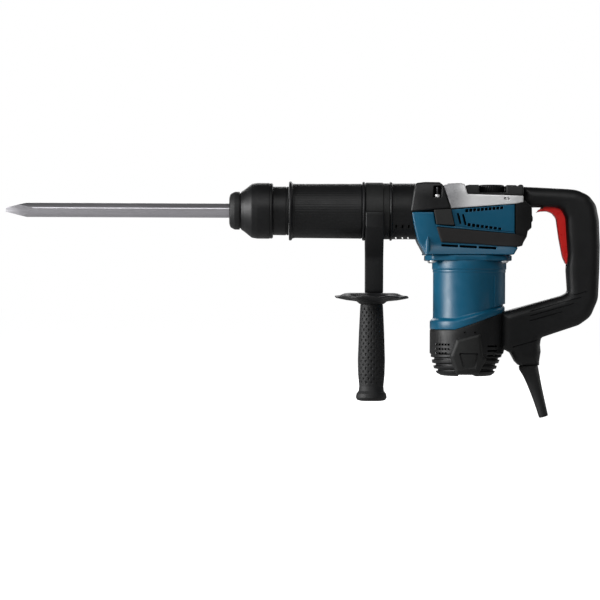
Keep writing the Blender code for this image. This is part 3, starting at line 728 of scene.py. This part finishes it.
def make_side_handle():
    """Clamp band, bracket, guard and grip."""
    band = [
        (-137.4, 33.4), (-137.4, 37.5, 0.5), (-136, 37.9, 0.5), (-114.6, 37.9, 0.5), (-114, 37, 0.3),
        (-113.4, 37, 0.3), (-106, 37, 0.5), (-106, 33.4),
    ]
    clamp = lathe(rounded(band), segments=128)
    piece("clamp_ring", clamp, GREY_BLACK, "clamp_band", body="side_bracket")
    arm = slab(bracket_outline(), -137.6, -113.7, 1.4, "X", spacing=4.0)
    bolt_bore = rod(-130.0, -60.0, 4.3, "Z", (GRIP_X, 0.0))
    barrel_bore = rod(-150.0, -100.0, 37.9, "X", segments=128)
    piece("side_arm", arm, BLACK, "handle_bracket", [bolt_bore, barrel_bore], body="side_bracket")
    guard = [
        (-107.7, 4.3), (-107.7, 30, 4), (-109, 36, 3), (-111.8, 42, 3), (-112.4, 48.7, 0.6),
        (-113.8, 48.7, 0.6), (-115.2, 42, 3), (-117.4, 33, 5), (-119, 20, 3),
        (-121.8, 16.6, 1.5), (-122.7, 15, 0.4), (-122.7, 4.3),
    ]

    def wavy(along, radius, turn):
        """Waves that grow towards the guard's rim."""
        share = min(1.0, max(0.0, radius - 30.0) / 10.0)
        return along - WAVE_HEIGHT * share * cos(GUARD_WAVES * turn)

    centre = (GRIP_X, 0.0)
    disc = lathe(rounded(guard), "Z", centre, 144, along_at=wavy)
    piece("hand_guard", disc, RUBBER, "guard_disc", body="side_grip")
    places = [-232.0, -215.0, -195.0, -160.0, -128.0, -122.8]
    radii = [16.0, 17.6, 17.9, 16.7, 15.2, 14.8]
    profile = [(-149, 0), (-149, 4.3), (-121.4, 4.3), (-121.6, 13), (-122.9, 14.2)]
    rows = [-123.3 - 0.65 * row for row in range(167)]
    profile += [(row, float(np.interp(row, places, radii))) for row in rows]
    tail = [
        (-231.8, 16.2), (-236.8, 16.6, 3), (-240.6, 19.6, 2), (-245.8, 20.4, 2), (-249, 18.6, 2),
        (-250.2, 14, 2), (-250.2, 0),
    ]
    profile += rounded(tail, closed=False)

    def dimpled(along, radius, turn):
        """Staggered rows of round dimples."""
        if not -228.0 < along < -126.0 or radius < 10.0:
            return radius
        pit = cos(DIMPLE_WAVES * turn) * cos(pi * along / DIMPLE_ROW)
        return radius - DIMPLE_DEPTH * min(1.0, max(0.0, (pit - 0.40) / 0.45))

    sleeve = lathe(profile, "Z", centre, 224, radius_at=dimpled)
    piece("grip_sleeve", sleeve, RUBBER, "side_grip", body="side_grip")


# Head


def head_half(x, z):
    """Half width of the head: it narrows towards its ends and top, and flares over the motor."""
    front = np.clip((-50.0 - x) / 28.0, 0.0, None)
    rear = np.clip((x - 50.0) / 28.0, 0.0, None)
    top = np.clip((z - 20.0) / 17.0, 0.0, None)
    low = np.clip((-40.0 - z) / 17.0, 0.0, None)
    return HEAD_HALF - 6.0 * front**2 - 5.0 * rear**2 - 3.5 * top**2 + 5.0 * low**2


def raised(by):
    return lambda x, z: head_half(x, z) + by


def wing_half(x, z):
    """The lower facet of the hood leans out as it goes down, and so catches the light."""
    return head_half(x, z) + 1.6 + 0.10 * (2.0 - z)


def crank_passage():
    """The room inside the head that the crank pin travels through."""
    return block((-74.0, -24.0), (-15.0, 15.0), (-24.0, 24.0))


def make_hood():
    outline = [
        (-78.2, -1.3, 1.2), (-78.8, 1.6, 1.5), (-75, 26.7, 20), (-71.8, 36.4, 3.5), (-60.2, 37.6, 4),
        (-41, 37.4, 4), (-36.4, 33.4, 3), (-26.4, 3, 0.6), (-48.7, 1.6, 0.6),
    ]
    recess = rounded([(-49.6, 17.2, 1.2), (-39, 17.2, 1.2), (-38.2, 32.4, 1.5), (-49, 32.4, 1.5)])
    shell = cover(rounded(outline), raised(1.5), 2.2, [recess], hole_roll=1.0)
    piece("hood_shell", shell, BLACK, "front_hood", [crank_passage()])
    wing = rounded([(-48.7, 1.2, 0.6), (-26.3, 2.6, 0.6), (-21.4, -19.1, 1.2), (-45.3, -17.9, 1.2)])
    # A block of the near-black finish inside the hood: painted shade, seen through the bolt recesses and the
    # gaps round the hood
    piece("hood_shade_block", block((-72.0, -30.0), (-37.0, 37.0), (-16.0, 33.0)), SHADOW, "front_hood")
    for name, side in SIDES:
        facet = cover(wing, wing_half, 0.9, side=side, inner=37.5)
        piece(f"hood_wing_{name}", facet, GREY_BLACK, "front_hood")
        centre = (-44.2, side * 40.6)
        stud = rod(20.0, 31.0, 1.7, "Z", centre)
        piece(f"hood_stud_{name}", stud, DARK_STEEL, f"hood_bolt_{name}")
        nut = rod(17.4, 21.2, 3.3, "Z", centre, roll=0.9)
        piece(f"hood_screw_{name}", nut, ZINC, f"hood_bolt_{name}")


def make_case():
    """The cast case: a matt bump on top and a bright arm along each side."""
    outline = [
        (-36.2, 32.8, 1), (-34, 34.2, 1), (-31.4, 34.2, 0.8), (-30.4, 35.6, 0.8), (-13.8, 36.4, 2.5),
        (-8.4, 34.9, 2), (-4.8, 21.9, 1), (68.3, 20, 1.5), (68.3, 11.8, 1.5), (56.9, 9.6, 1),
        (-0.7, 5.1, 1), (-26, 3, 0.6),
    ]
    socket = rounded([(43, 14.9), (50.6, 14.6), (50.2, 17.9), (42.8, 18.1)], radius=1.6)
    shell = cover(rounded(outline), raised(0.6), 1.3, [socket], hole_roll=0.5, grid=3.0)
    piece("case_shell", shell, CAST, "gear_case")
    # A block of the near-black finish inside the case: painted shade, seen through the panel slots and the
    # gaps between the shells
    shade_core = [(-33, 20), (62, 14), (62, -31), (-24, -20)]
    piece("case_shade_block", slab(shade_core, -37.5, 37.5, 1.0), SHADOW, "gear_case")
    for name, side in SIDES:
        low, high = sorted((side * 37.0, side * 42.6))
        screw = rod(low, high, 1.9, "Y", (46.8, 16.4))
        piece(f"case_screw_{name}", screw, ZINC, "gear_case")


def lower_slots():
    """Three long air slots under the belt."""
    slots = []
    for start, end in ((-38.7, -16.9), (-14.8, 7.9), (9.9, 33.2)):
        top_start, top_end = (-43.7 - 0.05 * (x + 38.7) for x in (start, end))
        corners = [(start, top_start - 2.9), (end, top_end - 2.9), (end, top_end), (start, top_start)]
        slots.append(rounded(corners, steps=3, radius=0.8))
    return slots


def make_body():
    outline = [
        (-77.4, -1.8, 1.5), (-49, -1.8), (-46.2, -17.6), (-22, -19.6), (57, -28.6), (57.4, -47, 1),
        (61.8, -47.4, 1.5), (55.8, -57, 1.5), (-58, -57.2, 1.5), (-60.4, -54.5, 3),
        (-69.3, -39.3, 30), (-74.6, -18, 30),
    ]
    shell = cover(rounded(outline), head_half, 1.6, lower_slots(), hole_roll=0.5)
    piece("body_shell", shell, BLUE, "upper_body", [crank_passage()])
    # A block of the near-black finish inside the body: painted shade, seen through the slots under the belts
    shade_core = [(-55, -22), (52, -30), (50, -54), (-52, -54)]
    piece("body_shade_block", slab(shade_core, -38.0, 38.0, 1.0), SHADOW, "upper_body")
    for name, side in SIDES:
        low, high = -57.2, -33.0
        boss = [(low, 0), (low, 4.6), (high - 8, 3.2), (high, 0.5, 0.3), (high + 0.2, 0)]
        post = lathe(rounded(boss, closed=False), "Z", (-56.2, side * 42.4), FINE)
        piece(f"body_boss_{name}", post, BLUE, "upper_body")
        line = rounded([(-45.6, -19), (57, -28.2), (57, -29.3), (-45.4, -20.3)], steps=2, radius=0.3)
        rib = cover(line, raised(2.7), 0.4, side=side, inner=38.0, spacing=3.0)
        piece(f"body_rib_{name}", rib, BLUE, "upper_body")


def panel_slots():
    """The panel's openings: a row along its top, a row along its bottom and two leaning ones."""
    slots = []
    for number in range(10):
        x = -7.7 + 5.05 * number
        top, bottom = 2.1 + 0.4 * number, -1.9 + 0.44 * number
        corners = [(x, bottom), (x + 4, bottom + 0.2), (x + 4.4, top + 0.4), (x + 0.4, top)]
        slots.append(rounded(corners, steps=2, radius=0.5))
    for number in range(8):
        x = -4.7 + 5.7 * number
        top, bottom = -16.0 - 0.8 * number, -20.4 - 0.6 * number
        corners = [(x, bottom), (x + 4, bottom - 0.3), (x + 4.6, top - 0.3), (x + 0.5, top)]
        slots.append(rounded(corners, steps=2, radius=0.5))
    for x, top, bottom in ((-18.8, -3.3, -17.1), (-12.0, -4.5, -18.6)):
        corners = [(x, top), (x + 3.6, bottom), (x + 6.4, bottom - 0.3), (x + 2.8, top + 0.2)]
        slots.append(rounded(corners, steps=2, radius=0.8))
    return slots


def make_side_pieces():
    """Slotted panels and dark belts, one of each on either side."""
    panel = rounded([(-25.6, 1.5, 0.6), (56.8, 8.7, 0.8), (56.8, -27.9, 0.8), (-20.7, -20.4, 0.8)])
    belt = [
        (-45.3, -21, 0.8), (57, -29.7, 4), (71, -33.3, 1.5), (67, -45.4, 2), (62, -46.9, 2),
        (34.7, -45.9, 20), (6.4, -43.4, 20), (-39, -41.4, 1.2),
    ]
    for name, side in SIDES:
        face = cover(panel, raised(-0.6), 0.7, panel_slots(), 0.5, grid=3.0, side=side, inner=39.5)
        piece(f"vent_panel_{name}", face, BLUE, f"side_panel_{name}")
        strip = cover(rounded(belt), raised(2.4), 1.8, side=side, inner=38.5)
        piece(f"belt_pad_{name}", strip, BELT_RUBBER, f"belt_{name}")


def make_rear_cover():
    outline = [
        (57.3, 12.5, 0.8), (70, 14.5, 1), (79.4, 6, 2), (80, 3.4, 1), (80.2, -5.3, 1),
        (81.2, -8, 0.8), (81.2, -12.2, 0.8), (79.6, -14.6, 0.8), (79.6, -21.6, 2), (74.6, -26.1, 1.5),
        (73.2, -33.4, 2), (66.3, -45.1, 3), (57.6, -46.4, 1),
    ]
    piece("rear_shell", cover(rounded(outline), raised(-1.4), 2.2), BLACK, "rear_cover")


def make_top():
    """The deck on top of the case, and the round dial that turns on it."""
    outline = [
        (-3.9, 21, 0.5), (-7.2, 33.4, 1.5), (-1.8, 34.6, 1.5), (10.9, 34.6, 1), (11.2, 24.4, 0.4),
        (46.6, 24.4, 0.4), (46.9, 34.4, 1), (59, 34.3, 1), (61.4, 32.6, 0.8), (64, 35, 1.5),
        (67.6, 35, 1.5), (69, 33, 1), (69, 21.1, 0.5),
    ]
    deck = cover(rounded(outline), lambda x, z: 33.0 - 0.012 * (z - 21.0) ** 2, 1.6)
    piece("deck_shell", deck, GREY_BLACK, "top_deck")
    profile = [
        (25.1, 0), (25.1, 17, 0.6), (33.6, 17.3, 1), (35.4, 15.6, 0.8), (35, 12.4, 0.8), (35, 0),
    ]

    def knurled(along, radius, turn):
        return radius - KNURL_DEPTH * (0.5 + 0.5 * cos(KNURLS * turn)) if radius > 14.0 else radius

    dial = lathe(rounded(profile, closed=False), "Z", (28.9, 0.0), 216, radius_at=knurled)
    mark = block((28.3, 29.5), (-13.5, -4.0), (34.6, 36.0), 0.1)
    piece("dial_knob", dial, SMOOTH_BLACK, "selector_dial", [mark], body="dial")


# Motor


def seam_height(x):
    """Height of the slanted seam between the blue housing and the black cap."""
    rising = -155.8 + 0.33 * (x + 22.7)
    return max(-155.2, rising) if x < -22.7 else rising


def lip_height(x):
    """Height at which the housing flares out over the seam."""
    return max(-141.6, -142.2 + 0.265 * (x + 22.0))


def narrowed(x, z):
    """The motor's lower end and its cap are slimmer on the side of the handle."""
    if x <= 0.0 or z > -100.0:
        return x
    return x * (0.91 - 0.12 * min(1.0, max(0.0, (-181.0 - z) / 22.0)))


def belled(bands, heights, slim_from):
    """A turned body with rings that may follow a slanted seam. Rings wider than slim_from are
    slimmer on the handle side."""
    bm = bmesh.new()
    rings = []
    for kind, (offset, radius) in bands:
        ring = []
        for step in range(MOTOR_SEGMENTS if radius > 0.0 else 1):
            turn = tau * step / MOTOR_SEGMENTS
            x = radius * cos(turn)
            z = offset + heights[kind](x) if kind in heights else offset
            x = narrowed(x, z) if radius > slim_from else x
            ring.append(bm.verts.new((x, radius * sin(turn), z)))
        rings.append(ring)
    for ring, following in zip(rings, rings[1:] + rings[:1]):
        if len(ring) > 1 or len(following) > 1:
            skin(bm, ring, following)
    return bm


def make_motor():
    """Blue housing that flares at a slanted seam, on a flange with screw ears."""
    top = [(-64.8, 46), (-64.8, COLLAR_R, 0.6), (-75.6, COLLAR_R, 1), (-77.2, COLLAR_R - 1, 0.6)]
    top += [(-79.4, MOTOR_R + 0.6, 0.5), (-80.6, MOTOR_R, 0.5), (-100, MOTOR_R)]
    fixed = rounded(top, closed=False)
    flare = [(2.6, MOTOR_R), (1.2, MOTOR_R + 0.2), (0.2, MOTOR_R + 0.9), (-0.8, MOTOR_R + 2.2)]
    flare += [(-1.8, CAP_R - 0.9), (-3, CAP_R - 0.2), (-4.6, CAP_R)]
    hem = [(0.9, CAP_R), (0.3, CAP_R - 0.2), (0, CAP_R - 0.8), (0, 44.5)]
    bands = [("fixed", row) for row in fixed]
    bands += [("lip", row) for row in flare]
    bands += [("seam", row) for row in hem]
    body = belled(bands, {"lip": lip_height, "seam": seam_height}, MOTOR_R)
    piece("motor_shell", body, BLUE, "motor_housing")
    flange = [
        (-58.8, -22, 6), (-58.8, 22, 6), (-50, 38, 8), (-20, 47.4, 12), (20, 47.4, 12),
        (46, 40, 8), (54.6, 24, 6), (54.6, -24, 6), (46, -40, 8), (20, -47.4, 12),
        (-20, -47.4, 12), (-50, -38, 8),
    ]
    plate = slab(rounded(flange), -65.0, -57.8, 1.4, "Z")
    piece("motor_flange", plate, BLUE, "motor_housing")
    for name, side in SIDES:
        x = 31.7
        place = (x, side * sqrt((MOTOR_R + 0.2) ** 2 - x**2))
        rib = rod(-126.3, -84.8, 1.1, "Z", place, 16, roll=1.0)
        piece(f"motor_rib_{name}", rib, BLUE, "motor_housing")


def cap_vents():
    """Square holes on the front side of the cap and slots on the rear side."""
    vents = bmesh.new()
    for z, count in ((-174.9, 5), (-180.8, 5), (-186.4, 4)):
        for column in range(count):
            x = -45.0 + 3.7 * column
            block((x, x + 2.6), (-70.0, 70.0), (z - 1.4, z + 1.4), 0.1, into=vents)
    for z in (-176.9, -183.0, -189.4):
        block((22.0, 35.0), (-70.0, 70.0), (z - 1.1, z + 1.1), 0.1, into=vents)
    for x in (-8.0, 5.4):
        rod(-70.0, 70.0, 1.1, "Y", (x, -158.9), 12, into=vents)
    return vents


def shield_half(x, z):
    return 53.2 - 0.006 * (x + 3.0) ** 2 + 0.16 * np.minimum(z + 188.0, 0.0)


def make_cap():
    """Black end cap with vents and ring louvres, and a shield on either side."""
    body = [
        (-186.6, CAP_R, 0.8), (-188.2, 50, 0.5), (-191.8, 50.2, 0.8), (-192.6, 45.8, 0.5),
        (-194.8, 45.8, 0.4), (-195.2, 48.8, 0.6), (-199.6, 48.2, 0.8), (-200.4, 43.6, 0.5),
        (-202.6, 43.6, 0.4), (-203, 46.9, 0.6), (-206.9, 45.8, 0.8), (-207.7, 40.8, 0.5),
        (-209.7, 40.8, 0.4), (-210.1, 44.4, 0.8), (-213.4, 41.6, 1.6), (-216, 36.5, 3),
        (-216.7, 30, 2), (-216.7, 0),
    ]
    lower = rounded([(-180.0, CAP_R)] + body, closed=False)
    inside = [(-214, 0), (-214, 35), (-208, 38), (-190, 43.5), (-160, 45)]
    bands = [("seam", (-0.1, 45.0)), ("seam", (-0.1, CAP_R - 0.9)), ("seam", (-0.7, CAP_R - 0.2))]
    bands += [("seam", (-1.6, CAP_R)), ("seam", (-8.0, CAP_R))]
    bands += [("fixed", row) for row in lower + inside]
    shell = belled(bands, {"seam": seam_height}, 0.0)
    # A liner of the near-black finish inside the cap: painted shade, seen through the cap's vents
    shade_liner = [(-208, 0), (-208, 34), (-205, 37), (-188, 42), (-158, 43), (-158, 0)]

    def slimmed(along, radius, turn):
        return radius * (1.0 - 0.2 * max(0.0, cos(turn)) * min(1.0, max(0.0, (-150.0 - along) / 30.0)))

    shade_core = lathe(shade_liner, "Z", segments=64, radius_at=slimmed)
    piece("cap_shade_lining", shade_core, SHADOW, "motor_cap")
    channel = slab([(-17, -220), (8.6, -220), (6.4, -214.6), (-15.2, -214.6)], -60.0, 60.0, 0.2)
    piece("cap_shell", shell, BLACK, "motor_cap", [cap_vents(), channel])
    outline = [(-19, -167.7, 1.5), (13.4, -159.2, 1.5), (16.4, -189.7, 2), (21.3, -193.4, 2)]
    outline += [(10.3, -212.9, 2), (-19, -212.9, 2), (-27.6, -190.3, 2)]
    badge = rounded([(-15.7, -185.7), (9.7, -185.7), (6.3, -206.5), (-10.4, -206.5)], radius=1.5)
    badge_floor = inset(wound(badge, True), 1.6).tolist()
    for name, side in SIDES:
        low, high = sorted((side * 49.5, side * 60.0))
        plate = cover(rounded(outline), shield_half, 4.4, grid=3.0, side=side, inner=40.0)
        sunk = slab(badge, low, high, 0.4)
        piece(f"cap_shield_{name}", plate, GREY_BLACK, "motor_cap", [sunk], sharp=50.0)
        floor = cover(badge_floor, lambda x, z: shield_half(x, z) - 0.9, 0.8, side=side, inner=45.0)
        piece(f"cap_badge_{name}", floor, GREY_BLACK, "motor_cap")


# D-handle


def handle_outline():
    outer = [
        (69.3, 33, 1.5), (80.9, 32.6, 10), (127.5, 30.4, 60), (141.1, 29.2, 30), (156.9, 22, 22),
        (166.2, 9.5, 20), (170.2, -10.2, 40), (171.6, -44.5, 200), (171.1, -75.1, 200),
        (169.5, -114.6, 30), (159.7, -137.9, 22), (144.4, -149, 22), (120.4, -157, 60),
        (94.6, -165.7, 5),
    ]
    outlet = [
        (93.2, -175, 4), (94.2, -184, 6), (92.2, -196.7, 4), (92.2, -202.2, 0.8),
        (65.6, -202.2, 0.8), (60.5, -197.3, 3), (54.3, -185.9, 4), (49.6, -183.1, 3), (40, -180),
    ]
    inner = [
        (40, -133), (120.4, -110.3, 8), (129.6, -105.7, 6), (127.5, -75.1, 60),
        (129.2, -57.3, 40), (127, -30, 60), (125.6, -8, 12), (119.6, 4.4, 9),
        (108, 6.1, 6), (80.8, 5.9, 4), (69.3, 6.3, 1),
    ]
    return rounded(outer + outlet + inner, steps=6)


def handle_half(x, z):
    """The handle is thickest at the grip and slims towards the cord outlet."""
    grip = np.exp(-(((z + 45.0) / 60.0) ** 2)) * np.clip((x - 100.0) / 40.0, 0.0, 1.0)
    arm = np.exp(-(((x - 40.0) / 45.0) ** 2)) * np.clip((-110.0 - z) / 20.0, 0.0, 1.0)
    return HANDLE_HALF + 1.2 * grip + 9.0 * arm


def handle_grooves(side):
    """Parallel grooves: four along the lower arm and one over the cord outlet."""
    grooves = bmesh.new()
    slope = tan(radians(15.9))
    lines = [(79, -125.8, 74), (79, -131.2, 67), (79, -137, 58), (79, -143.4, 42), (56, -178.2, 37)]
    for x, z, length in lines:
        end_x, end_z = x + length, z + length * slope
        line = [(x, z - 0.55), (end_x, end_z - 0.55), (end_x, end_z + 0.55), (x, z + 0.55)]
        low, high = sorted((side * 18.3, side * 40.0))
        slab(rounded(line, steps=2, radius=0.5), low, high, 0.2, spacing=8.0, into=grooves)
    return grooves


def make_handle():
    """The halves of the D-handle, with room inside for the motor's end, trigger and switch."""
    pocket = [
        (84, -4), (84, 9), (90, 14.5), (108, 15.5), (118, 14.6), (126, 11.2), (132.5, 4.6),
        (136, -9), (138.5, -30), (141.5, -57), (141, -65), (133, -69.8), (127, -72.6),
        (112, -72.6), (100, -20),
    ]
    for name, side in SIDES:
        shell = cover(handle_outline(), handle_half, 12.5, grid=3.6, side=side, inner=0.15)
        cutters = [
            rod(-230.0, -100.0, MOTOR_R + 0.4, "Z", segments=128),
            slab(pocket, -TRIGGER_HALF - 0.5, TRIGGER_HALF + 0.5, 0.2),
            block((137.0, 160.0), (-8.5, 8.5), (-58.0, -18.0)),
            handle_grooves(side),
        ]
        piece(f"handle_shell_{name}", shell, BLACK, f"handle_{name}", cutters)


def make_trigger():
    outline = [
        (87.4, -0.9, 0.4), (93.5, 0.5, 6), (101.5, 0.9, 10), (108.6, -1.6, 8), (114.1, -8.6, 10),
        (117.7, -33.9, 100), (122.8, -60.2, 30), (126.6, -68, 2), (129.6, -69.2, 1),
        (133, -68, 1), (134, -59), (132, -32), (131, -11), (128.5, -2), (123, 6),
        (116, 10.5, 4), (108, 12, 3), (99.6, 11, 2), (95.6, 5.4, 4), (90.4, 2.6, 6),
    ]
    lever = cover(rounded(outline), lambda x, z: TRIGGER_HALF, 1.8, grid=2.5, spacing=1.6)
    pivot = (95.5, 5.6)
    bore = rod(-20.0, 20.0, 1.4, "Y", pivot, 24)
    piece("trigger_lever", lever, RED, "trigger", [bore], body="trigger")
    axle = rod(-13.0, 13.0, 1.1, "Y", pivot, 16)
    piece("trigger_axle", axle, SMOOTH_BLACK, "trigger_pin")


def make_cord_boot():
    """The tapered sleeve that the mains lead leaves through."""
    places = [0.0, 0.4, 2.4, 4.4, 7.0, 12.0, 22.0, 34.0, 46.0, 56.0, 64.0, 69.4, 70.6, 71.2]
    radii = [12.2, 13.0, 13.0, 12.2, 11.7, 10.9, 9.6, 8.4, 7.5, 6.9, 6.5, 6.25, 5.9, 5.0]
    path_x = [78.9, 78.9, 80.6, 83.3, 88.7, 93.8, 99.2]
    path_z = [-202.6, -204.6, -209.0, -216.3, -234.0, -251.0, -270.3]
    lengths = np.concatenate([[0.0], np.cumsum(np.hypot(np.diff(path_x), np.diff(path_z)))])
    scaled = [place / places[-1] * lengths[-1] for place in places]
    path = [(np.interp(at, lengths, path_x), 0.0, np.interp(at, lengths, path_z)) for at in scaled]
    piece("boot_sleeve", swept(path, radii, 64, 4.2), RUBBER, "cord_boot")


def make_screws():
    """The four screws that hold the motor housing under the head."""
    corners = [(-49, -29.5), (-49, 29.5), (44.6, -35), (44.6, 35)]
    for number, centre in enumerate(corners, start=1):
        head = [(-57.5, 0), (-57.5, 2.6), (-65, 2.6, 0.2), (-65.2, 4.8, 0.3), (-66.6, 4.8, 0.8)]
        head += [(-68, 3, 0.8), (-68, 0)]
        screw = lathe(rounded(head, closed=False), "Z", centre, FINE)
        socket = lathe([(-69.0, 0.0), (-69.0, 1.6), (-66.8, 1.6), (-66.8, 0.0)], "Z", centre, 6)
        piece(f"screw_head_{number}", screw, ZINC, f"housing_screw_{number}", [socket])


# Studio


def for_camera(tree, elsewhere, seen):
    """One strength for what the camera sees directly, and another for the light it gives."""
    seen_directly = node(tree, "LightPath").outputs["Is Camera Ray"]
    return spread(tree, seen_directly, elsewhere, seen)


def floor_finish():
    """A pale floor. Some of its brightness is for the camera alone, so that it doesn't fill the
    dark undersides with light."""
    material = finish("pale_floor", (0.55, 0.55, 0.55), 0.9, 0.0, 2.0, 0.0, 0.01, specular=0.0)
    tree = material.node_tree
    glow = for_camera(tree, 0.0, FLOOR_GLOW)
    plug(tree.nodes["Principled BSDF"], Emission_Strength=glow, Emission_Color=WHITE)
    return material


def make_floor():
    bm = bmesh.new()
    corners = [(-1, -1), (1, -1), (1, 1), (-1, 1)]
    bm.faces.new([bm.verts.new((x * FLOOR_REACH, y * FLOOR_REACH, 0.0)) for x, y in corners])
    floor = mesh_object("floor", bm)
    floor.location.z = CAD_BOX[0].z - 0.0002
    floor.data.materials.append(floor_finish())


def make_light(name, place, size, power):
    """A rectangular light, in metres and watts, that looks at the middle of the tool."""
    data = bpy.data.lights.new(name, "AREA")
    data.shape = "RECTANGLE"
    data.size, data.size_y = size
    data.energy = power
    light = new_object(name, data)
    light.location = place
    light.rotation_euler = (Vector(LIT_SPOT) - Vector(place)).to_track_quat("-Z", "Y").to_euler()
    light.visible_camera = False


def make_world():
    """White to the camera, and dimmer for everything else, so that dark plastic stays dark."""
    world = bpy.data.worlds.new("studio")
    world.use_nodes = True
    tree = world.node_tree
    plug(tree.nodes["Background"], Color=WHITE, Strength=for_camera(tree, WORLD_LIGHT, 1.0))
    bpy.context.scene.world = world


def make_studio():
    make_floor()
    for light in LIGHTS:
        make_light(*light)
    make_world()
    bpy.context.scene.view_settings.view_transform = "Standard"


def make_camera():
    data = bpy.data.cameras.new("camera")
    data.sensor_width = SENSOR
    data.lens = SENSOR * CAMERA_DISTANCE / VIEW_WIDTH
    data.clip_end = 100.0
    camera = new_object("camera", data)
    camera.location = ((VIEW_CENTRE[0] + ORIGIN.x) * MM, -CAMERA_DISTANCE, (VIEW_CENTRE[1] + ORIGIN.z) * MM)
    camera.rotation_euler = (pi / 2, CAMERA_ROLL, 0.0)
    bpy.context.scene.camera = camera


finish_kept_nodes()
make_chisel()
make_nose()
make_barrel()
make_side_handle()
make_hood()
make_case()
make_body()
make_side_pieces()
make_rear_cover()
make_top()
make_motor()
make_cap()
make_handle()
make_trigger()
make_cord_boot()
make_screws()
make_studio()
make_camera()
